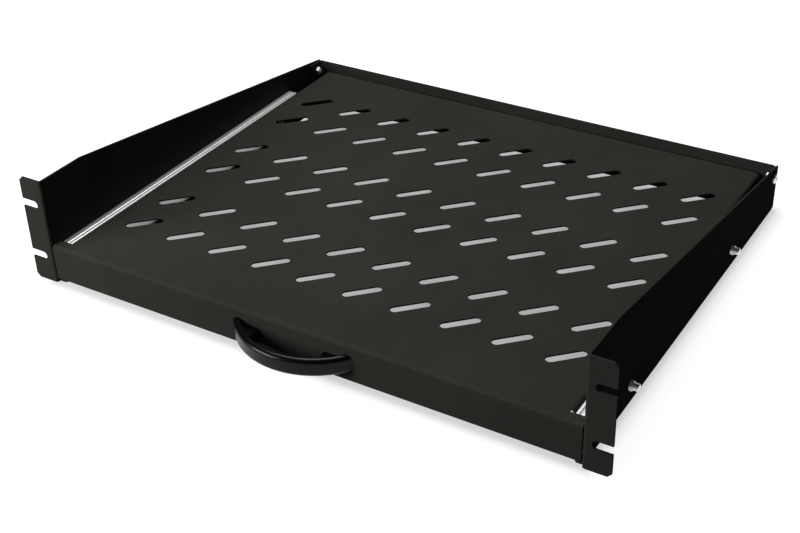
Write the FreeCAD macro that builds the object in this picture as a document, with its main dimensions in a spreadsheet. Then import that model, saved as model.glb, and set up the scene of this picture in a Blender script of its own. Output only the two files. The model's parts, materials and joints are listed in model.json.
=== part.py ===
import FreeCAD, Part
import math
import os
import Sketcher
from types import SimpleNamespace

# A pull-out shelf for a 19 inch rack, two units high: two bent side brackets with rack ears, a rear panel,
# a vented tray with a bow handle, and a pair of full-extension ball slides.
# Frame: X across the rack, Y from the rack rails to the back, Z up. The origin lies on the centre line,
# on the plane where the ears bear on the rails, level with the lower edge of the ears.
# All sizes are in millimetres, with the tray pushed in.

DIMENSIONS = {
    # side brackets and rack ears
    "ear_span": 482.6,
    "ear_width": 20.9,
    "ear_height": 88.1,
    "ear_corner": 3.0,
    "bracket_depth": 365.0,
    "bracket_sheet": 1.5,
    "bracket_bend": 1.0,
    "bracket_kink": 43.0,
    "bracket_rear_height": 41.0,
    "bend_rear_gap": 3.0,
    "ledge_width": 15.5,
    "ledge_bend": 1.5,
    "ledge_front": 1.5,
    "ledge_rear_gap": 9.8,
    "ledge_corner": 10.7,
    "ledge_hole_length": 20.0,
    "ledge_hole_width": 8.0,
    "ledge_hole_inset": 10.0,
    "ledge_hole_rear_gap": 42.0,
    "rack_slot_width": 6.5,
    "rack_slot_pitch": 44.45,
    "rack_slot_length": 14.4,
    # rear panel
    "panel_sheet": 1.5,
    "panel_bend": 1.6,
    "panel_inset": 0.4,
    "panel_bottom": 0.5,
    "panel_height": 40.5,
    "panel_tab_length": 16.6,
    "panel_lip": 8.9,
    "panel_screw_inset": 6.8,
    "panel_screw_drop": 8.3,
    # slides, measured from the tray towards the bracket
    "slide_front": 9.7,
    "slide_length": 300.0,
    "slide_height": 30.2,
    "slide_bottom": 1.8,
    "slide_thickness": 10.8,
    "slide_sheet": 1.0,
    "slide_bend": 0.6,
    "slide_lip": 0.6,
    "outer_member_gap": 0.5,
    "outer_race": 1.4,
    "groove_place": 3.6,
    "groove_width": 2.0,
    "groove_depth": 0.35,
    "middle_member_gap": 0.5,
    "middle_race": 1.5,
    "member_gap": 0.9,
    "running_gap": 0.3,
    "cage_sheet": 0.6,
    "cage_trim": 10.0,
    "ball_pitch": 17.5,
    "ball_room": 0.15,
    "bumper_length": 4.0,
    # screws that hold the slides to the brackets
    "slide_screw_width": 5.6,
    "slide_screw_head_width": 7.2,
    "slide_screw_head": 1.1,
    "slide_screw_front": 61.6,
    "slide_screw_rear": 45.7,
    "slide_screw_stub": 6.3,
    "thread_pitch": 0.8,
    "thread_depth": 0.45,
    "clinch_nut_width": 7.8,
    "clinch_nut_height": 2.0,
    "clinch_nut_taper": 0.4,
    # small pan head screws
    "small_screw_width": 4.0,
    "small_head_width": 8.0,
    "small_head": 1.8,
    "small_head_round": 1.2,
    "recess_width": 1.1,
    "recess_span": 4.2,
    "recess_depth": 1.0,
    "small_nut_flats": 7.0,
    "small_nut_height": 3.2,
    "screw_room": 0.15,
    "screw_chamfer": 0.5,
    # tray
    "tray_sheet": 1.2,
    "tray_bend": 1.8,
    "tray_top": 33.0,
    "apron_out": 0.9,
    "apron_bottom": 4.0,
    "tray_side_gap": 0.5,
    "tray_notch": 8.3,
    "tray_rear_gap": 0.9,
    "rear_flange": 20.0,
    "side_flange": 8.0,
    "corner_relief": 3.5,
    "tab_length": 51.0,
    "tab_below": 13.5,
    "tab_front_inset": 1.5,
    "tab_rear_reach": 44.0,
    "tab_screw_pitch": 24.0,
    "tab_screw_tip": 1.1,
    "window_round": 4.0,
    # vent slots
    "vent_length": 29.4,
    "vent_width": 7.0,
    "vent_angle": 45.0,
    "vent_column_pitch": 40.0,
    "vent_pair_pitch": 40.0,
    "vent_group_pitch": 100.0,
    "vent_first_row": 60.0,
    "vent_side_margin": 12.0,
    "vent_rear_margin": 40.0,
    # handle
    "handle_span": 100.0,
    "handle_reach": 25.6,
    "handle_band": 4.8,
    "handle_height": 14.0,
    "handle_round": 3.6,
    "handle_inner_round": 0.5,
    "foot_start": 27.0,
    "foot_slant": 2.0,
    "foot_top_drop": 4.0,
    "foot_bottom_rise": 1.5,
    "handle_screw_pitch": 64.0,
    "handle_screw_grip": 7.0,
    "handle_hole_depth": 8.0,
}


class Size:
    """A length with its value and the formula that ties it to the sheet."""

    def __init__(self, value, formula):
        self.value = value
        self.formula = formula

    def __add__(self, other):
        other = as_size(other)
        return Size(self.value + other.value, f"({self.formula} + {other.formula})")

    def __sub__(self, other):
        other = as_size(other)
        return Size(self.value - other.value, f"({self.formula} - {other.formula})")

    def __mul__(self, other):
        other = as_size(other)
        return Size(self.value * other.value, f"({self.formula} * {other.formula})")

    def __truediv__(self, other):
        other = as_size(other)
        return Size(self.value / other.value, f"({self.formula} / {other.formula})")

    def __neg__(self):
        return self * -1


def as_size(item):
    """A plain number becomes a size with a fixed value."""
    if isinstance(item, Size):
        return item
    return Size(float(item), f"({float(item):.10g})")


def root(size):
    """The square root of a size."""
    return Size(math.sqrt(size.value), f"sqrt({size.formula})")


doc = FreeCAD.newDocument("sliding_rack_shelf")
sheet = doc.addObject("Spreadsheet::Sheet", "dims")
for row, (name, value) in enumerate(DIMENSIONS.items(), start=1):
    sheet.set(f"A{row}", str(value))
    sheet.setAlias(f"A{row}", name)
doc.recompute()
d = SimpleNamespace(**{name: Size(value, "dims." + name) for name, value in DIMENSIONS.items()})
ZERO = as_size(0)
SIDES = {"left": -1, "right": 1}
nodes = []


# Helpers for bodies, sketches and features


def bind(item, setting, size):
    """Tie a setting of a document object to a size."""
    item.setExpression(setting, as_size(size).formula)


def new_body(label):
    body = doc.addObject("PartDesign::Body", label)
    body.Label = label
    body.AllowCompound = True
    nodes.append(body)
    return body


def origin_feature(body, role):
    return [feature for feature in body.Origin.OriginFeatures if feature.Role == role][0]


def new_sketch(body, role, base=(0, 0, 0)):
    """A sketch on an origin plane, moved by base along the axes of that plane."""
    sketch = body.newObject("Sketcher::SketchObject", body.Name + "_sketch")
    sketch.AttachmentSupport = [(origin_feature(body, role), "")]
    sketch.MapMode = "FlatFace"
    for letter, shift in zip("xyz", base):
        bind(sketch, "AttachmentOffset.Base." + letter, shift)
    return sketch


def arc_between(start, end, radius, turn):
    """The arc of at most half a circle from start to end; turn is 1 for left and -1 for right."""
    if turn < 0:
        start, end = end, start
    chord = end - start
    middle = (start + end) * 0.5
    height = math.sqrt(max(radius ** 2 - (chord.Length / 2) ** 2, 0))
    centre = middle + FreeCAD.Vector(-chord.y, chord.x, 0).normalize() * height
    first = math.atan2(start.y - centre.y, start.x - centre.x)
    last = math.atan2(end.y - centre.y, end.x - centre.x)
    if last < first:
        last += 2 * math.pi
    return Part.ArcOfCircle(Part.Circle(centre, FreeCAD.Vector(0, 0, 1), radius), first, last)


def draw_loop(sketch, stops):
    """Draw a closed loop. A stop is (x, y, arc): arc is None before a straight side, else (radius, turn)."""
    ends = []
    rules = []
    formulas = []
    for index, (x, y, arc) in enumerate(stops):
        next_x, next_y, next_arc = stops[(index + 1) % len(stops)]
        here = FreeCAD.Vector(x.value, y.value, 0)
        there = FreeCAD.Vector(next_x.value, next_y.value, 0)
        if arc is None:
            edge = sketch.addGeometry(Part.LineSegment(here, there), False)
            ends.append((edge, 1, 2))
        else:
            radius, turn = arc
            edge = sketch.addGeometry(arc_between(here, there, radius.value, turn), False)
            ends.append((edge, 1, 2) if turn > 0 else (edge, 2, 1))
            rules.append(Sketcher.Constraint("Radius", edge, radius.value))
            formulas.append(radius.formula)
    for index, (x, y, arc) in enumerate(stops):
        edge, start, finish = ends[index]
        last_edge, last_start, last_finish = ends[index - 1]
        rules.append(Sketcher.Constraint("DistanceX", -1, 1, edge, start, x.value))
        formulas.append(x.formula)
        rules.append(Sketcher.Constraint("DistanceY", -1, 1, edge, start, y.value))
        formulas.append(y.formula)
        rules.append(Sketcher.Constraint("Coincident", last_edge, last_finish, edge, start))
        formulas.append(None)
    for number, formula in zip(sketch.addConstraint(rules), formulas):
        if formula:
            sketch.setExpression(f"Constraints[{number}]", formula)


def draw_circle(sketch, x, y, radius):
    x, y = as_size(x), as_size(y)
    centre = FreeCAD.Vector(x.value, y.value, 0)
    edge = sketch.addGeometry(Part.Circle(centre, FreeCAD.Vector(0, 0, 1), radius.value), False)
    rules = [
        Sketcher.Constraint("DistanceX", -1, 1, edge, 3, x.value),
        Sketcher.Constraint("DistanceY", -1, 1, edge, 3, y.value),
        Sketcher.Constraint("Radius", edge, radius.value),
    ]
    for number, size in zip(sketch.addConstraint(rules), (x, y, radius)):
        sketch.setExpression(f"Constraints[{number}]", size.formula)


def heading(start, end):
    """The direction from one corner to another along an axis of the sketch."""
    across = end[0].value - start[0].value
    along = end[1].value - start[1].value
    if abs(across) > abs(along):
        return (math.copysign(1, across), 0)
    return (0, math.copysign(1, along))


def moved(corner, radius, way):
    """The corner moved by a radius along an axis of the sketch."""
    x, y = corner[0], corner[1]
    if way[0]:
        x = x + radius * way[0]
    if way[1]:
        y = y + radius * way[1]
    return x, y


def outline(corners):
    """Loop stops for corners given as (x, y) if sharp, or (x, y, radius) if rounded between square sides."""
    corners = [(as_size(corner[0]), as_size(corner[1])) + tuple(corner[2:]) for corner in corners]
    stops = []
    for index, corner in enumerate(corners):
        if len(corner) == 2:
            stops.append((corner[0], corner[1], None))
            continue
        back = heading(corner, corners[index - 1])
        ahead = heading(corner, corners[(index + 1) % len(corners)])
        turn = 1 if ahead[0] * back[1] - ahead[1] * back[0] > 0 else -1
        stops.append(moved(corner, corner[2], back) + ((corner[2], turn),))
        stops.append(moved(corner, corner[2], ahead) + (None,))
    kept = []
    for index, stop in enumerate(stops):
        following = stops[(index + 1) % len(stops)]
        gap = math.hypot(following[0].value - stop[0].value, following[1].value - stop[1].value)
        if stop[2] is not None or gap > 1e-6:
            kept.append(stop)
    return kept


def draw(sketch, corners):
    draw_loop(sketch, outline(corners))


def rectangle(x_one, x_two, y_one, y_two, radius=None):
    tail = () if radius is None else (radius,)
    return [(x_one, y_one) + tail, (x_two, y_one) + tail, (x_two, y_two) + tail, (x_one, y_two) + tail]


def pad(body, sketch, length, reverse=False, centred=False):
    feature = body.newObject("PartDesign::Pad", body.Name + "_pad")
    feature.Profile = sketch
    bind(feature, "Length", length)
    feature.Reversed = reverse
    if centred:
        feature.SideType = "Symmetric"
    doc.recompute()
    return feature


def cut(body, sketch, length=None, reverse=False):
    """Cut a sketch out of the body, right through to both sides unless a length is given."""
    before = body.Shape.Volume
    feature = body.newObject("PartDesign::Pocket", body.Name + "_cut")
    feature.Profile = sketch
    feature.Reversed = reverse
    if length is None:
        feature.Type = "ThroughAll"
        feature.SideType = "Symmetric"
    else:
        bind(feature, "Length", length)
    doc.recompute()
    if body.Shape.Volume > before - 0.01:
        raise RuntimeError("a cut removes nothing from " + body.Label)
    return feature


def revolve(body, sketch):
    feature = body.newObject("PartDesign::Revolution", body.Name + "_turned")
    feature.Profile = sketch
    feature.ReferenceAxis = (sketch, ["H_Axis"])
    feature.Angle = 360
    doc.recompute()
    return feature


def repeat(body, features, steps):
    """Repeat features in rows; each step is (axis, spacing, count)."""
    pattern = body.newObject("PartDesign::MultiTransform", body.Name + "_pattern")
    rows = []
    for role, spacing, count in steps:
        row = body.newObject("PartDesign::LinearPattern", body.Name + "_row")
        row.Direction = (origin_feature(body, role), [""])
        row.Occurrences = count
        bind(row, "Length", spacing * (count - 1))
        rows.append(row)
    pattern.Originals = features
    pattern.Transformations = rows
    body.Tip = pattern
    doc.recompute()
    return pattern


def mirror_across(body, features):
    """Copy features to the other side of the centre line."""
    copy = body.newObject("PartDesign::Mirrored", body.Name + "_mirrored")
    copy.Originals = features
    copy.MirrorPlane = (origin_feature(body, "YZ_Plane"), [""])
    body.Tip = copy
    doc.recompute()
    return copy


def fillet(body, radius, wanted):
    """Round the edges of the body that the test picks."""
    base = body.Tip
    names = [f"Edge{number}" for number, edge in enumerate(base.Shape.Edges, start=1) if wanted(edge)]
    if not names:
        raise RuntimeError("no edge to round on " + body.Label)
    feature = body.newObject("PartDesign::Fillet", body.Name + "_round")
    feature.Base = (base, names)
    bind(feature, "Radius", radius)
    doc.recompute()
    return feature


# Lines that several pieces share

ear_half = d.ear_span / 2
bracket_inner = ear_half - d.ear_width
bracket_outer = bracket_inner + d.bracket_sheet
ledge_round = d.ledge_bend + d.bracket_sheet
ledge_start = bracket_inner - d.ledge_bend
ledge_edge = bracket_inner - d.ledge_width
ledge_rear = d.bracket_depth - d.ledge_rear_gap
bend_rear = d.bracket_depth - d.bend_rear_gap
panel_outside = d.bracket_depth - d.panel_inset
panel_inside = panel_outside - d.panel_sheet
panel_top = d.panel_bottom + d.panel_height
panel_round = d.panel_bend + d.panel_sheet
panel_screw_y = panel_outside - d.panel_screw_inset
panel_screw_z = panel_top - d.panel_screw_drop
slide_rear = d.slide_front + d.slide_length
slide_half = d.slide_height / 2
slide_middle = d.slide_bottom + slide_half
slide_screw_first = d.slide_front + d.slide_screw_front
slide_screw_last = slide_rear - d.slide_screw_rear
slide_screw_radius = d.slide_screw_width / 2
small_screw_radius = d.small_screw_width / 2
tray_half = bracket_inner - d.slide_thickness
apron_face = -d.apron_out
tray_rear = panel_inside - d.tray_rear_gap
tray_round = d.tray_bend + d.tray_sheet
plate_half = tray_half - tray_round
plate_under = d.tray_top - d.tray_sheet
front_half = bracket_inner - d.tray_side_gap
tab_bottom = slide_middle - d.tab_below
front_tab_start = d.slide_front + d.tab_front_inset
front_tab_end = front_tab_start + d.tab_length
rear_tab_start = slide_rear - d.tab_rear_reach
tab_screw_inset = (d.tab_length - d.tab_screw_pitch) / 2
front_tab_screw = front_tab_start + tab_screw_inset
rear_tab_screw = rear_tab_start + tab_screw_inset

# Slide section, as distance from the tray and height from the slide's middle line

outer_reach = d.slide_thickness - d.outer_member_gap
outer_curl = d.outer_race + d.slide_sheet
outer_ball = d.outer_race - d.running_gap
outer_ball_from = outer_reach - outer_curl
outer_ball_up = slide_half - outer_curl
middle_half = outer_ball_up - outer_ball - d.running_gap
middle_web = d.slide_sheet + d.tab_screw_tip + d.running_gap * 2
middle_reach = d.slide_thickness - d.slide_sheet - d.middle_member_gap
middle_curl = d.middle_race + d.slide_sheet
inner_ball = d.middle_race - d.running_gap
inner_ball_from = middle_reach - middle_curl
inner_ball_up = middle_half - middle_curl
inner_half = inner_ball_up - inner_ball - d.running_gap
inner_tip = middle_web + d.slide_sheet + d.member_gap
members_front = d.slide_front + d.bumper_length + d.running_gap
cage_length = d.slide_length / 2 - d.cage_trim
cage_start = d.slide_front + (d.slide_length - cage_length) / 2
ball_count = int(cage_length.value / d.ball_pitch.value + 1e-6)


# Side brackets and rear panel


def make_bracket(name, side):
    body = new_body(name + "_side_bracket")
    plan = new_sketch(body, "XY_Plane")
    draw(plan, [
        (bracket_inner * side, -d.bracket_sheet, d.bracket_bend + d.bracket_sheet),
        (ear_half * side, -d.bracket_sheet),
        (ear_half * side, ZERO),
        (bracket_outer * side, ZERO, d.bracket_bend),
        (bracket_outer * side, d.bracket_depth),
        (bracket_inner * side, d.bracket_depth),
    ])
    pad(body, plan, d.ear_height)

    # the sloped top, the room for the lower bend and the screw holes
    profile = new_sketch(body, "YZ_Plane")
    beyond = d.bracket_depth + d.bracket_sheet
    above = d.ear_height + d.bracket_sheet
    draw(profile, [
        (d.bracket_kink, d.ear_height),
        (d.bracket_depth, d.bracket_rear_height),
        (beyond, d.bracket_rear_height),
        (beyond, above),
        (d.bracket_kink, above),
    ])
    draw(profile, rectangle(d.ledge_front, beyond, -d.bracket_sheet, ledge_round))
    draw_circle(profile, slide_screw_first, slide_middle, slide_screw_radius + d.screw_room)
    draw_circle(profile, slide_screw_last, slide_middle, slide_screw_radius + d.screw_room)
    draw_circle(profile, panel_screw_y, panel_screw_z, small_screw_radius + d.screw_room)
    cut(body, profile)

    # the open slots and the cut corners of the ear
    front = new_sketch(body, "XZ_Plane")
    slot_end = (ear_half - d.rack_slot_length) * side
    outside = (ear_half + d.ear_corner) * side
    slot_half = d.rack_slot_width / 2
    for step in (-0.5, 0.5):
        slot_middle = d.ear_height / 2 + d.rack_slot_pitch * step
        draw(front, [
            (slot_end, slot_middle - slot_half, slot_half),
            (outside, slot_middle - slot_half),
            (outside, slot_middle + slot_half),
            (slot_end, slot_middle + slot_half, slot_half),
        ])
    for edge, way in ((ZERO, 1), (d.ear_height, -1)):
        draw(front, [
            ((ear_half - d.ear_corner) * side, edge),
            ((ear_half - d.ear_corner) * side, edge - d.ear_corner * way),
            (outside, edge - d.ear_corner * way),
            (outside, edge + d.ear_corner * way),
            (ear_half * side, edge + d.ear_corner * way),
        ])
    cut(body, front)


def make_ledge(name, side):
    """The bend along the bracket's lower edge, and the ledge that it carries under the slide."""
    bend = new_body(name + "_bracket_bend")
    section = new_sketch(bend, "XZ_Plane", (0, 0, -d.ledge_front))
    draw(section, [
        (bracket_outer * side, ledge_round),
        (bracket_outer * side, ZERO, ledge_round),
        (ledge_start * side, ZERO),
        (ledge_start * side, d.bracket_sheet),
        (bracket_inner * side, d.bracket_sheet, d.ledge_bend),
        (bracket_inner * side, ledge_round),
    ])
    pad_back(bend, section, bend_rear - d.ledge_front)

    ledge = new_body(name + "_bracket_ledge")
    plan = new_sketch(ledge, "XY_Plane")
    draw(plan, [
        (ledge_start * side, d.ledge_front),
        ((ledge_edge + d.ledge_corner) * side, d.ledge_front),
        (ledge_edge * side, d.ledge_front + d.ledge_corner),
        (ledge_edge * side, ledge_rear),
        (ledge_start * side, ledge_rear),
    ])
    hole_x = (bracket_inner - d.ledge_hole_inset) * side
    hole_y = d.bracket_depth - d.ledge_hole_rear_gap
    hole_reach = d.ledge_hole_length / 2
    hole_half = d.ledge_hole_width / 2
    draw(plan, rectangle(
        hole_x - hole_half, hole_x + hole_half, hole_y - hole_reach, hole_y + hole_reach, hole_half))
    pad(ledge, plan, d.bracket_sheet)


def make_rear_panel():
    body = new_body("rear_panel")
    plan = new_sketch(body, "XY_Plane", (0, 0, d.panel_bottom + panel_round))
    tab_front = panel_outside - d.panel_tab_length
    inner = bracket_inner - d.panel_sheet
    draw(plan, [
        (-bracket_inner, tab_front),
        (-inner, tab_front),
        (-inner, panel_inside, d.panel_bend),
        (inner, panel_inside, d.panel_bend),
        (inner, tab_front),
        (bracket_inner, tab_front),
        (bracket_inner, panel_outside, panel_round),
        (-bracket_inner, panel_outside, panel_round),
    ])
    pad(body, plan, d.panel_height - panel_round)
    holes = new_sketch(body, "YZ_Plane")
    draw_circle(holes, panel_screw_y, panel_screw_z, small_screw_radius + d.screw_room)
    cut(body, holes)

    # the lower edge, bent forwards
    lip = new_body("rear_panel_lip")
    section = new_sketch(lip, "YZ_Plane")
    lip_top = d.panel_bottom + d.panel_sheet
    bend_top = d.panel_bottom + panel_round
    draw(section, [
        (panel_outside, bend_top),
        (panel_outside, d.panel_bottom, panel_round),
        (panel_outside - d.panel_lip, d.panel_bottom),
        (panel_outside - d.panel_lip, lip_top),
        (panel_inside, lip_top, d.panel_bend),
        (panel_inside, bend_top),
    ])
    pad(lip, section, (bracket_inner - panel_round) * 2, centred=True)


# Slides


def slide_point(side, away, up):
    """Sketch coordinates of a point of the slide section."""
    return ((tray_half + away) * side, slide_middle + up)


def channel(side, web, reach, half, web_round, curl, groove=()):
    """Section of a channel with its web towards the tray, its edges curled inwards and a groove if given."""
    tip = half - curl - d.slide_lip
    inner_race = curl - d.slide_sheet
    web_inside = web + d.slide_sheet
    reach_inside = reach - d.slide_sheet
    upper = [
        (web, half, web_round + d.slide_sheet),
        *groove,
        (reach, half, curl),
        (reach, tip),
        (reach_inside, tip),
        (reach_inside, half - d.slide_sheet, inner_race),
        (web_inside, half - d.slide_sheet, web_round),
    ]
    lower = [(away, -up) + tuple(rest) for away, up, *rest in reversed(upper)]
    return [slide_point(side, corner[0], corner[1]) + tuple(corner[2:]) for corner in upper + lower]


def pad_back(body, sketch, length):
    """Pad a sketch of the XZ plane towards the back."""
    return pad(body, sketch, length, reverse=True)


def make_slide(name, side):
    outer = new_body(name + "_slide_outer")
    section = new_sketch(outer, "XZ_Plane", (0, 0, -d.slide_front))
    groove = [
        (d.groove_place - d.groove_width / 2, slide_half),
        (d.groove_place, slide_half - d.groove_depth),
        (d.groove_place + d.groove_width / 2, slide_half),
    ]
    draw(section, channel(side, ZERO, outer_reach, slide_half, d.slide_bend, outer_curl, groove))
    pad_back(outer, section, d.slide_length)
    holes = new_sketch(outer, "YZ_Plane")
    for first in (front_tab_screw, rear_tab_screw):
        for step in (0, 1):
            y = first + d.tab_screw_pitch * step
            draw_circle(holes, y, slide_middle, small_screw_radius + d.screw_room)
    cut(outer, holes)

    middle = new_body(name + "_slide_middle")
    section = new_sketch(middle, "XZ_Plane", (0, 0, -members_front))
    draw(section, channel(side, middle_web, middle_reach, middle_half, d.slide_bend, middle_curl))
    pad_back(middle, section, slide_rear - members_front)

    inner = new_body(name + "_slide_inner")
    section = new_sketch(inner, "XZ_Plane", (0, 0, -members_front))
    web_inside = d.slide_thickness - d.slide_sheet
    flange_inside = inner_half - d.slide_sheet
    bend_outside = d.slide_bend + d.slide_sheet
    corners = [
        (inner_tip, inner_half),
        (d.slide_thickness, inner_half, bend_outside),
        (d.slide_thickness, -inner_half, bend_outside),
        (inner_tip, -inner_half),
        (inner_tip, -flange_inside),
        (web_inside, -flange_inside, d.slide_bend),
        (web_inside, flange_inside, d.slide_bend),
        (inner_tip, flange_inside),
    ]
    draw(section, [slide_point(side, away, up) + tuple(rest) for away, up, *rest in corners])
    pad_back(inner, section, slide_rear - members_front)
    holes = new_sketch(inner, "YZ_Plane")
    draw_circle(holes, slide_screw_first, slide_middle, slide_screw_radius + d.screw_room)
    draw_circle(holes, slide_screw_last, slide_middle, slide_screw_radius + d.screw_room)
    cut(inner, holes)

    bumper = new_body(name + "_slide_bumper")
    section = new_sketch(bumper, "XZ_Plane", (0, 0, -d.slide_front))
    near, low = slide_point(side, d.slide_sheet, slide_half * -0.6)
    far, high = slide_point(side, outer_reach - d.slide_sheet, slide_half * 0.6)
    draw(section, rectangle(near, far, low, high, d.slide_sheet))
    pad_back(bumper, section, d.bumper_length)


def make_cage(name, side, layer, ball, ball_from, ball_up, back):
    """The two ball strips of a slide layer and their balls."""
    body = new_body(f"{name}_{layer}_ball_cage")
    section = new_sketch(body, "XZ_Plane", (0, 0, -cage_start))
    front = ball_from + ball * 0.6
    for way in (1, -1):
        near, low = slide_point(side, back, ball_up * way - d.cage_sheet / 2)
        far, high = slide_point(side, front, ball_up * way + d.cage_sheet / 2)
        draw(section, rectangle(near, far, low, high))
    pad_back(body, section, cage_length)
    first_ball = cage_start + (cage_length - d.ball_pitch * (ball_count - 1)) / 2
    ball_x = (tray_half + ball_from) * side
    hole = new_sketch(body, "XY_Plane")
    draw_circle(hole, ball_x, first_ball, ball + d.ball_room)
    pocket = cut(body, hole)
    repeat(body, [pocket], [("Y_Axis", d.ball_pitch, ball_count)])

    spheres = []
    for way in (1, -1):
        for step in range(ball_count):
            sphere = doc.addObject("Part::Sphere", f"{name}_{layer}_ball")
            bind(sphere, "Radius", ball)
            bind(sphere, "Placement.Base.x", ball_x)
            bind(sphere, "Placement.Base.y", first_ball + d.ball_pitch * step)
            bind(sphere, "Placement.Base.z", slide_middle + ball_up * way)
            spheres.append(sphere)
    group = doc.addObject("Part::Compound", f"{name}_{layer}_balls")
    group.Label = f"{name}_{layer}_balls"
    group.Links = spheres
    nodes.append(group)


# Screws and nuts


def screw_section(seat, way, head_width, head, head_round, width, length, threads=None):
    """Half section of a screw along the first sketch axis; way is the direction its shank points."""
    radius = width / 2
    tip = seat + length * way
    corners = [
        (seat - head * way, ZERO),
        (seat - head * way, head_width / 2, head_round),
        (seat, head_width / 2),
        (seat, radius),
    ]
    if threads is not None:
        thread_length = d.thread_pitch * threads
        for turn in range(threads):
            crest = tip - (d.screw_chamfer + thread_length) * way + d.thread_pitch * (turn * way)
            corners.append((crest, radius))
            corners.append((crest + d.thread_pitch * (0.5 * way), radius - d.thread_depth))
    corners += [
        (tip - d.screw_chamfer * way, radius),
        (tip, radius - d.screw_chamfer),
        (tip, ZERO),
    ]
    return corners


def draw_recess(sketch):
    """A cross recess about the sketch's own origin."""
    half = d.recess_width / 2
    end = d.recess_span / 2
    draw(sketch, [
        (-half, -end), (half, -end), (half, -half), (end, -half), (end, half), (half, half),
        (half, end), (-half, end), (-half, half), (-end, half), (-end, -half), (-half, -half),
    ])


def make_slide_screws(name, side):
    body = new_body(name + "_slide_screws")
    section = new_sketch(body, "XY_Plane", (0, slide_screw_first, slide_middle))
    seat = (bracket_inner - d.slide_sheet) * side
    length = d.slide_sheet + d.bracket_sheet + d.slide_screw_stub
    exposed = d.slide_screw_stub - d.clinch_nut_height - d.screw_chamfer
    threads = int(exposed.value / d.thread_pitch.value)
    draw(section, screw_section(
        seat, side, d.slide_screw_head_width, d.slide_screw_head, d.screw_chamfer,
        d.slide_screw_width, length, threads))
    screw = revolve(body, section)
    repeat(body, [screw], [("Y_Axis", slide_screw_last - slide_screw_first, 2)])

    body = new_body(name + "_clinch_nuts")
    section = new_sketch(body, "XY_Plane", (0, slide_screw_first, slide_middle))
    near = bracket_outer * side
    far = (bracket_outer + d.clinch_nut_height) * side
    bore = slide_screw_radius + d.screw_room
    nut_half = d.clinch_nut_width / 2
    draw(section, [(near, bore), (near, nut_half), (far, nut_half - d.clinch_nut_taper), (far, bore)])
    nut = revolve(body, section)
    repeat(body, [nut], [("Y_Axis", slide_screw_last - slide_screw_first, 2)])


def make_tray_screws(name, side):
    body = new_body(name + "_tray_screws")
    section = new_sketch(body, "XY_Plane", (0, front_tab_screw, slide_middle))
    seat = (tray_half - d.tray_sheet) * side
    length = d.tray_sheet + d.slide_sheet + d.tab_screw_tip
    draw(section, screw_section(
        seat, side, d.small_head_width, d.small_head, d.small_head_round, d.small_screw_width, length))
    screw = revolve(body, section)
    recess = new_sketch(body, "YZ_Plane", (front_tab_screw, slide_middle, seat - d.small_head * side))
    draw_recess(recess)
    cross = cut(body, recess, d.recess_depth, reverse=side > 0)
    repeat(body, [screw, cross], [
        ("Y_Axis", d.tab_screw_pitch, 2),
        ("Y_Axis", rear_tab_screw - front_tab_screw, 2),
    ])


def make_panel_fasteners():
    screws = new_body("rear_panel_screws")
    section = new_sketch(screws, "XY_Plane", (0, panel_screw_y, panel_screw_z))
    length = d.bracket_sheet + d.panel_sheet + d.small_nut_height + d.screw_chamfer * 2
    draw(section, screw_section(
        bracket_outer, -1, d.small_head_width, d.small_head, d.small_head_round, d.small_screw_width, length))
    screw = revolve(screws, section)
    recess = new_sketch(screws, "YZ_Plane", (panel_screw_y, panel_screw_z, bracket_outer + d.small_head))
    draw_recess(recess)
    cross = cut(screws, recess, d.recess_depth)
    mirror_across(screws, [screw, cross])

    nuts = new_body("rear_panel_nuts")
    seat = bracket_inner - d.panel_sheet
    hexagon = new_sketch(nuts, "YZ_Plane", (panel_screw_y, panel_screw_z, seat))
    corner = d.small_nut_flats / math.sqrt(3)
    angles = [math.radians(60 * step + 30) for step in range(6)]
    draw(hexagon, [(corner * math.cos(angle), corner * math.sin(angle)) for angle in angles])
    draw_circle(hexagon, 0, 0, small_screw_radius + d.screw_room)
    nut = pad(nuts, hexagon, d.small_nut_height, reverse=True)
    mirror_across(nuts, [nut])


# Tray and handle


def draw_fold(sketch, face, way, bottom):
    """Section of a flange folded down from the plate, with its outer face at the given place."""
    inside = face - d.tray_sheet * way
    fold = face - tray_round * way
    draw(sketch, [
        (fold, d.tray_top),
        (face, d.tray_top, tray_round),
        (face, bottom),
        (inside, bottom),
        (inside, plate_under, d.tray_bend),
        (fold, plate_under),
    ])


def make_tray():
    # the plate fills the gap between the brackets in front and passes between the slides behind
    body = new_body("tray")
    plan = new_sketch(body, "XY_Plane", (0, 0, plate_under))
    plate_front = apron_face + tray_round
    plate_rear = tray_rear - tray_round
    draw(plan, [
        (-front_half, plate_front),
        (front_half, plate_front),
        (front_half, d.tray_notch),
        (plate_half, d.tray_notch),
        (plate_half, plate_rear),
        (-plate_half, plate_rear),
        (-plate_half, d.tray_notch),
        (-front_half, d.tray_notch),
    ])
    pad(body, plan, d.tray_sheet)

    # vent slots
    turn = math.radians(d.vent_angle.value)
    slot_reach = ((d.vent_length - d.vent_width) * math.cos(turn) + d.vent_width) / 2
    usable = (tray_half - d.vent_side_margin - slot_reach) * 2
    columns = int(usable.value / d.vent_column_pitch.value) + 1
    last_row = tray_rear - d.vent_rear_margin - d.vent_pair_pitch
    groups = int((last_row - d.vent_first_row).value / d.vent_group_pitch.value) + 1
    first_column = d.vent_column_pitch * ((1 - columns) / 2)
    slot = new_sketch(body, "XY_Plane", (first_column, d.vent_first_row, d.tray_top))
    bind(slot, "AttachmentOffset.Rotation.Angle", d.vent_angle)
    half_length = d.vent_length / 2
    half_width = d.vent_width / 2
    draw(slot, rectangle(-half_length, half_length, -half_width, half_width, half_width))
    pocket = cut(body, slot, d.tray_sheet * 2)
    repeat(body, [pocket], [
        ("X_Axis", d.vent_column_pitch, columns),
        ("Y_Axis", d.vent_pair_pitch, 2),
        ("Y_Axis", d.vent_group_pitch, groups),
    ])


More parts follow.
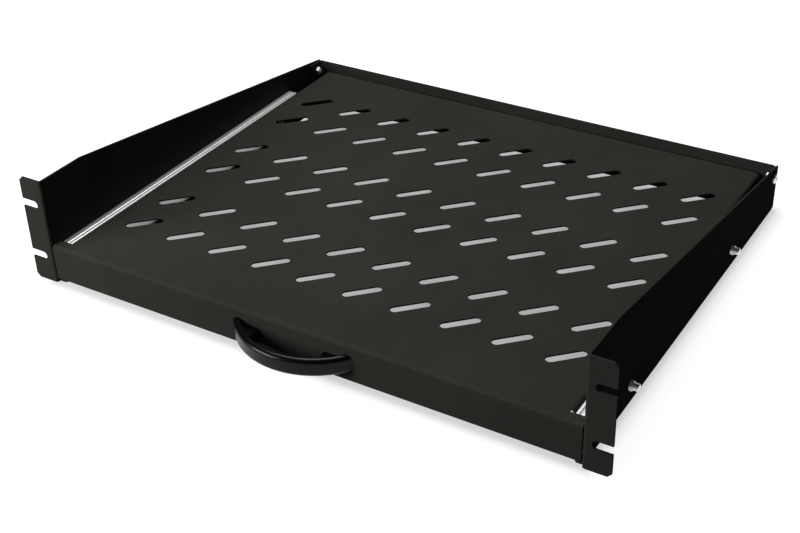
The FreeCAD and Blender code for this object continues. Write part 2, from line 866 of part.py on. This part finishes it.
def make_tray_ends():
    """The front apron and the rear flange, which meet the plate where their bends begin."""
    apron = new_body("tray_front_apron")
    section = new_sketch(apron, "YZ_Plane")
    draw_fold(section, apron_face, -1, d.apron_bottom)
    pad(apron, section, front_half * 2, centred=True)
    holes = new_sketch(apron, "XZ_Plane", (0, 0, -apron_face))
    for side in (-1, 1):
        draw_circle(holes, d.handle_screw_pitch * (side / 2), foot_middle, small_screw_radius + d.screw_room)
    cut(apron, holes, d.tray_sheet * 2)

    flange = new_body("tray_rear_flange")
    section = new_sketch(flange, "YZ_Plane")
    draw_fold(section, tray_rear, 1, d.tray_top - d.rear_flange)
    pad(flange, section, plate_half * 2, centred=True)


def make_side_flange(name, side):
    """A side flange with a window between its two deeper ends, where the slide is screwed on."""
    body = new_body(name + "_tray_flange")
    section = new_sketch(body, "XZ_Plane", (0, 0, -front_tab_start))
    draw_fold(section, tray_half * side, side, tab_bottom)
    pad_back(body, section, tray_rear - d.corner_relief - front_tab_start)
    window = new_sketch(body, "YZ_Plane")
    window_top = d.tray_top - d.side_flange
    below = tab_bottom - d.window_round * 2
    draw(window, [
        (front_tab_end, below),
        (rear_tab_start, below),
        (rear_tab_start, window_top, d.window_round),
        (front_tab_end, window_top, d.window_round),
    ])
    for first in (front_tab_screw, rear_tab_screw):
        for step in (0, 1):
            y = first + d.tab_screw_pitch * step
            draw_circle(window, y, slide_middle, small_screw_radius + d.screw_room)
    cut(body, window)


def make_handle():
    body = new_body("handle")
    half_span = d.handle_span / 2
    outer = (half_span * half_span + d.handle_reach * d.handle_reach) / (d.handle_reach * 2)
    inner = outer - d.handle_band
    centre_line = outer - d.handle_band / 2
    depth = outer - d.handle_reach
    inner_span = root(inner * inner - depth * depth)
    bow = new_sketch(body, "XY_Plane", (0, 0, handle_bottom))
    draw_loop(bow, [
        (-half_span, apron_face, (outer, 1)),
        (half_span, apron_face, None),
        (inner_span, apron_face, (inner, -1)),
        (-inner_span, apron_face, None),
    ])
    pad(body, bow, d.handle_height)

    def follows(radius):
        def test(edge):
            curve = edge.Curve
            return curve.TypeId == "Part::GeomCircle" and abs(curve.Radius - radius.value) < 1e-4
        return test

    fillet(body, d.handle_round, follows(outer))
    fillet(body, d.handle_inner_round, follows(inner))

    # feet between the bow and the apron
    feet = new_sketch(body, "XY_Plane", (0, 0, foot_bottom))
    bow_foot = root(centre_line * centre_line - depth * depth)
    joint_x = d.foot_start + d.foot_slant
    joint_y = apron_face + depth - root(centre_line * centre_line - joint_x * joint_x)
    for side in (-1, 1):
        draw(feet, [
            (d.foot_start * side, apron_face),
            (bow_foot * side, apron_face),
            (joint_x * side, joint_y),
        ])
    pad(body, feet, foot_top - foot_bottom)
    holes = new_sketch(body, "XZ_Plane", (0, 0, -apron_face))
    for side in (-1, 1):
        draw_circle(holes, d.handle_screw_pitch * (side / 2), foot_middle, small_screw_radius + d.screw_room)
    cut(body, holes, d.handle_hole_depth, reverse=True)

    screws = new_body("handle_screws")
    screw_x = d.handle_screw_pitch / 2
    seat = apron_face + d.tray_sheet
    section = new_sketch(screws, "YZ_Plane", (0, foot_middle, screw_x))
    length = d.tray_sheet + d.handle_screw_grip
    draw(section, screw_section(
        seat, -1, d.small_head_width, d.small_head, d.small_head_round, d.small_screw_width, length))
    screw = revolve(screws, section)
    recess = new_sketch(screws, "XZ_Plane", (screw_x, foot_middle, -seat - d.small_head))
    draw_recess(recess)
    cross = cut(screws, recess, d.recess_depth, reverse=True)
    mirror_across(screws, [screw, cross])


handle_middle = (d.apron_bottom + d.tray_top) / 2
handle_bottom = handle_middle - d.handle_height / 2
foot_bottom = handle_bottom + d.foot_bottom_rise
foot_top = handle_bottom + d.handle_height - d.foot_top_drop
foot_middle = (foot_bottom + foot_top) / 2

for name, side in SIDES.items():
    make_bracket(name, side)
    make_ledge(name, side)
make_rear_panel()
make_tray()
make_tray_ends()
make_handle()
for name, side in SIDES.items():
    make_side_flange(name, side)
    make_slide(name, side)
    make_cage(name, side, "outer", outer_ball, outer_ball_from, outer_ball_up, outer_ball_from - outer_ball * 1.8)
    make_cage(name, side, "inner", inner_ball, inner_ball_from, inner_ball_up, inner_tip)
    make_slide_screws(name, side)
    make_tray_screws(name, side)
make_panel_fasteners()
doc.recompute()

# Nothing is written unless every object is in order
for item in doc.Objects:
    if "Invalid" in item.State or "Error" in item.State:
        raise RuntimeError("in error: " + item.Label)
for node in nodes:
    if node.Shape.isNull() or not node.Shape.isValid():
        raise RuntimeError("bad shape: " + node.Label)
os.makedirs("parts", exist_ok=True)
for node in nodes:
    node.Shape.exportStep(f"parts/{node.Label}.step")
    print(node.Label, len(node.Shape.Solids), round(node.Shape.Volume, 1))
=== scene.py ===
import json
import math

import bpy
from mathutils import Matrix, Vector


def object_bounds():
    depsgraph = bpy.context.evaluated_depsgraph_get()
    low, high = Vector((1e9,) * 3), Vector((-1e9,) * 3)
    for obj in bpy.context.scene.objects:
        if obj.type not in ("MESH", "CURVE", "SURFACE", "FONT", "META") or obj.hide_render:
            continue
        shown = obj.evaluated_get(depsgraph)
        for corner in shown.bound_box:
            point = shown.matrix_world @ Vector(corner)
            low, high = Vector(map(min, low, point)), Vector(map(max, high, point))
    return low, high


# The patch of painted shadow on the floor under the object: half its size, and how far its edge reaches
# inwards and outwards
FLOOR_SHADOW_PATCH = (0.222, 0.183)
FLOOR_EDGE = 0.03
FLOOR_FAR = 0.07
# The floor's glow from the patch outwards, as (share of the way across the edge, brightness): dim under the
# object and near its edges as a painted shadow, white further out
FLOOR_GLOW_AND_SHADE = ((0.0, 0.39), (0.3, 0.58), (0.35, 0.8), (0.42, 0.945), (0.6, 0.985), (0.85, 1.0))
# The floor's paint where it is seen, and where it only throws light back
FLOOR_PAINT = 0.25
FLOOR_BOUNCE = 0.07
FLOOR_HALF = 20.0
FLOOR_DROP = 0.0002

# Lamps: name, place, size and radiance
LAMPS = (
    ("front_box", (-0.7, -0.75, 0.4), (0.6, 0.6), 12.5),
    ("top_box", (-0.27, 0.36, 1.05), (0.6, 0.6), 8.3),
)
WORLD_STRENGTH = 0.06

# The camera's place and axes (right, down, forward) were solved from the photograph
EYE = (0.481298, -0.624551, 0.579677)
RIGHT = Vector((0.855893, 0.516491, -0.026160))
DOWN = Vector((0.259203, -0.472207, -0.842517))
FORWARD = Vector((-0.447505, 0.714323, -0.538035))
LENS = 62.5107
SENSOR_WIDTH = 36.0
VIEW_LIMIT = 60.0

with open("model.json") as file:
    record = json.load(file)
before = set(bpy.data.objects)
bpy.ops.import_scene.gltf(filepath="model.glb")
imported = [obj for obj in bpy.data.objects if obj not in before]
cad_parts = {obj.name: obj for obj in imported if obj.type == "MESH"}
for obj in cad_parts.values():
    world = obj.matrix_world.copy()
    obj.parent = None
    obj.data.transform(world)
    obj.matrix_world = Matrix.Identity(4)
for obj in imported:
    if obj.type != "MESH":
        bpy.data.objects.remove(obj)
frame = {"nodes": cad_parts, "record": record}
cad_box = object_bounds()
scene = bpy.context.scene
scene.view_settings.view_transform = "Standard"


# Materials


class Material:
    """A material with one surface shader, and short ways to add nodes and links to it."""

    def __init__(self, name):
        self.material = bpy.data.materials.new(name)
        self.material.use_nodes = True
        self.nodes = self.material.node_tree.nodes
        self.links = self.material.node_tree.links
        self.shader = self.nodes["Principled BSDF"]
        self.place = self.nodes.new("ShaderNodeTexCoord").outputs["Object"]

    def set(self, **values):
        for name, value in values.items():
            self.shader.inputs[name.replace("_", " ")].default_value = value

    def stretched(self, scale):
        """Texture coordinates with their own scale along each axis."""
        mapping = self.nodes.new("ShaderNodeMapping")
        mapping.inputs["Scale"].default_value = scale
        self.links.new(self.place, mapping.inputs["Vector"])
        return mapping.outputs["Vector"]

    def noise(self, scale, detail=2.0, roughness=0.5, place=None):
        texture = self.nodes.new("ShaderNodeTexNoise")
        texture.inputs["Scale"].default_value = scale
        texture.inputs["Detail"].default_value = detail
        texture.inputs["Roughness"].default_value = roughness
        self.links.new(place or self.place, texture.inputs["Vector"])
        return texture.outputs["Fac"]

    def spread(self, value, low, high, start=0.3, end=0.7):
        """The value, spread from low to high."""
        node = self.nodes.new("ShaderNodeMapRange")
        node.inputs["From Min"].default_value = start
        node.inputs["From Max"].default_value = end
        node.inputs["To Min"].default_value = low
        node.inputs["To Max"].default_value = high
        self.links.new(value, node.inputs["Value"])
        return node.outputs["Result"]

    def shades(self, value, stops):
        """A colour ramp over the value, with stops of (position, colour)."""
        ramp = self.nodes.new("ShaderNodeValToRGB")
        elements = ramp.color_ramp.elements
        while len(elements) < len(stops):
            elements.new(0.5)
        for element, (position, colour) in zip(elements, stops):
            element.position = position
            element.color = (*colour, 1.0)
        self.links.new(value, ramp.inputs["Fac"])
        return ramp.outputs["Color"]

    def colour(self, value, dark, light):
        """Base colour between two shades, by the value."""
        self.feed("Base Color", self.shades(value, [(0.3, dark), (0.7, light)]))

    def bump(self, height, distance, strength, before=None):
        node = self.nodes.new("ShaderNodeBump")
        node.inputs["Distance"].default_value = distance
        node.inputs["Strength"].default_value = strength
        self.links.new(height, node.inputs["Height"])
        if before:
            self.links.new(before, node.inputs["Normal"])
        return node.outputs["Normal"]

    def feed(self, name, value):
        self.links.new(value, self.shader.inputs[name])


def powder_coat():
    """Matt black powder coat: fine orange peel, with slight changes of shade and gloss."""
    coat = Material("powder_coat")
    coat.set(Metallic=0.0, IOR=1.5, Specular_IOR_Level=0.004)
    shade = coat.noise(14.0, detail=4.0, roughness=0.6)
    coat.colour(shade, dark=(0.0277, 0.0267, 0.0241), light=(0.0336, 0.0325, 0.0293))
    coat.feed("Roughness", coat.spread(coat.noise(240.0, detail=3.0), 0.7, 0.82))
    peel = coat.bump(coat.noise(700.0), distance=0.0003, strength=0.12)
    coat.feed("Normal", coat.bump(coat.noise(2400.0), distance=0.0001, strength=0.25, before=peel))
    return coat.material


def zinc_plate():
    """Bright zinc on rolled steel: streaks along the slide, and a cool sheen that drifts."""
    zinc = Material("zinc_plate")
    zinc.set(Metallic=1.0)
    streaks = zinc.noise(1.0, detail=4.0, roughness=0.65, place=zinc.stretched((1500.0, 18.0, 1500.0)))
    drift = zinc.noise(22.0, detail=3.0)
    zinc.feed("Base Color", zinc.shades(drift, [
        (0.3, (0.79, 0.82, 0.83)),
        (0.55, (0.84, 0.85, 0.84)),
        (0.75, (0.85, 0.84, 0.80)),
    ]))
    zinc.feed("Roughness", zinc.spread(streaks, 0.42, 0.5))
    zinc.feed("Normal", zinc.bump(streaks, distance=0.00005, strength=0.3))
    return zinc.material


def moulded_plastic():
    """Smooth moulded handle: half gloss, with the faint waviness of a moulding."""
    plastic = Material("moulded_plastic")
    plastic.set(Metallic=0.0, IOR=1.5, Specular_IOR_Level=0.13)
    shade = plastic.noise(40.0, detail=3.0)
    plastic.colour(shade, dark=(0.0012, 0.0012, 0.0016), light=(0.0022, 0.0022, 0.0028))
    plastic.feed("Roughness", plastic.spread(plastic.noise(900.0, detail=3.0), 0.2, 0.28))
    wave = plastic.bump(plastic.noise(60.0), distance=0.0006, strength=0.05)
    plastic.feed("Normal", plastic.bump(plastic.noise(3000.0), distance=0.00004, strength=0.2, before=wave))
    return plastic.material


def black_plate():
    """Black plating on small screws: dark and slightly metallic, with a fine grain."""
    plate = Material("black_plate")
    plate.set(Metallic=0.6, IOR=1.5)
    grain = plate.noise(1200.0, detail=3.0)
    plate.colour(grain, dark=(0.020, 0.020, 0.021), light=(0.034, 0.034, 0.036))
    plate.feed("Roughness", plate.spread(grain, 0.34, 0.5))
    plate.feed("Normal", plate.bump(grain, distance=0.00005, strength=0.2))
    return plate.material


def ball_steel():
    """Polished bearing steel with a thin film of grease."""
    steel = Material("ball_steel")
    steel.set(Metallic=1.0)
    film = steel.noise(900.0, detail=3.0)
    steel.colour(film, dark=(0.66, 0.66, 0.65), light=(0.78, 0.78, 0.77))
    steel.feed("Roughness", steel.spread(film, 0.06, 0.18))
    return steel.material


def stop_rubber():
    """Dull black rubber of the slide stops."""
    rubber = Material("stop_rubber")
    rubber.set(Metallic=0.0, IOR=1.5, Specular_IOR_Level=0.25)
    grain = rubber.noise(1600.0, detail=3.0)
    rubber.colour(grain, dark=(0.010, 0.010, 0.010), light=(0.016, 0.016, 0.016))
    rubber.feed("Roughness", rubber.spread(grain, 0.7, 0.85))
    rubber.feed("Normal", rubber.bump(grain, distance=0.0001, strength=0.3))
    return rubber.material


finishes = {
    "black_powder_coat": powder_coat(),
    "zinc_plated_steel": zinc_plate(),
    "black_plated_steel": black_plate(),
    "handle_plastic": moulded_plastic(),
    "bearing_steel": ball_steel(),
    "bumper_rubber": stop_rubber(),
}
for subpart in frame["record"]["subparts"]:
    finish = finishes[subpart["material_slot"]]
    for slot in frame["nodes"][subpart["node"]].material_slots:
        slot.material = finish


# Floor


def pale_ground_painted_shadow():
    """Pale floor that stays white away from the object, with a painted shadow that dims it under the object
    and near its edges, and keeps its real shadow too.
    """
    ground = Material("pale_ground_painted_shadow")
    nodes, links = ground.nodes, ground.links
    nodes.remove(ground.shader)
    rays = nodes.new("ShaderNodeLightPath")
    seen = rays.outputs["Is Camera Ray"]
    for kind in ("Is Glossy Ray", "Is Transmission Ray"):
        total = nodes.new("ShaderNodeMath")
        links.new(seen, total.inputs[0])
        links.new(rays.outputs[kind], total.inputs[1])
        seen = total.outputs["Value"]
    paint = nodes.new("ShaderNodeBsdfDiffuse")
    links.new(ground.spread(seen, FLOOR_BOUNCE, FLOOR_PAINT, 0.0, 1.0), paint.inputs["Color"])

    # Distance outside the patch of painted shadow
    apart = nodes.new("ShaderNodeVectorMath")
    apart.operation = "ABSOLUTE"
    links.new(ground.place, apart.inputs[0])
    outside = nodes.new("ShaderNodeVectorMath")
    outside.operation = "SUBTRACT"
    links.new(apart.outputs["Vector"], outside.inputs[0])
    outside.inputs[1].default_value = (*FLOOR_SHADOW_PATCH, 0.0)
    parts = nodes.new("ShaderNodeSeparateXYZ")
    links.new(outside.outputs["Vector"], parts.inputs["Vector"])
    distance = nodes.new("ShaderNodeMath")
    distance.operation = "MAXIMUM"
    links.new(parts.outputs["X"], distance.inputs[0])
    links.new(parts.outputs["Y"], distance.inputs[1])
    # The glow rises with that distance, so the floor is painted darker under and near the object as a
    # shadow
    away = ground.spread(distance.outputs["Value"], 0.0, 1.0, -FLOOR_EDGE, FLOOR_FAR)
    glow_and_painted_shade = ground.shades(away, [(place, (glow, glow, glow)) for place, glow in FLOOR_GLOW_AND_SHADE])

    strength = nodes.new("ShaderNodeMath")
    strength.operation = "MULTIPLY"
    links.new(seen, strength.inputs[0])
    links.new(glow_and_painted_shade, strength.inputs[1])
    glow = nodes.new("ShaderNodeEmission")
    links.new(strength.outputs["Value"], glow.inputs["Strength"])
    both = nodes.new("ShaderNodeAddShader")
    links.new(paint.outputs["BSDF"], both.inputs[0])
    links.new(glow.outputs["Emission"], both.inputs[1])
    links.new(both.outputs["Shader"], nodes["Material Output"].inputs["Surface"])
    return ground.material


low, high = cad_box
middle = (low + high) / 2
floor_corners = [(x * FLOOR_HALF, y * FLOOR_HALF, 0.0) for x, y in ((-1, -1), (1, -1), (1, 1), (-1, 1))]
floor_mesh = bpy.data.meshes.new("floor")
floor_mesh.from_pydata(floor_corners, [], [(0, 1, 2, 3)])
floor_mesh.materials.append(pale_ground_painted_shadow())
floor = bpy.data.objects.new("floor", floor_mesh)
# The floor is centred on the patch of painted shadow, so that shadow lies under the object
floor.location = (middle.x, high.y - FLOOR_SHADOW_PATCH[1], low.z - FLOOR_DROP)
scene.collection.objects.link(floor)


# Light and camera


def soft_box(name, place, size, radiance):
    """A large soft lamp that faces the object, given by its brightness."""
    lamp = bpy.data.lights.new(name, "AREA")
    lamp.shape = "RECTANGLE"
    lamp.size, lamp.size_y = size
    lamp.energy = radiance * math.pi * size[0] * size[1]
    box = bpy.data.objects.new(name, lamp)
    box.location = place
    box.rotation_euler = (middle - Vector(place)).to_track_quat("-Z", "Y").to_euler()
    box.visible_camera = False
    scene.collection.objects.link(box)


for name, place, size, radiance in LAMPS:
    soft_box(name, place, size, radiance)

world = bpy.data.worlds.new("studio")
world.use_nodes = True
background = world.node_tree.nodes["Background"]
background.inputs["Color"].default_value = (1.0, 1.0, 1.0, 1.0)
background.inputs["Strength"].default_value = WORLD_STRENGTH
scene.world = world

camera_data = bpy.data.cameras.new("camera")
camera_data.sensor_fit = "HORIZONTAL"
camera_data.sensor_width = SENSOR_WIDTH
camera_data.lens = LENS
camera_data.clip_end = VIEW_LIMIT
camera = bpy.data.objects.new("camera", camera_data)
camera.matrix_world = Matrix.Translation(EYE) @ Matrix((RIGHT, -DOWN, -FORWARD)).transposed().to_4x4()
scene.collection.objects.link(camera)
scene.camera = camera
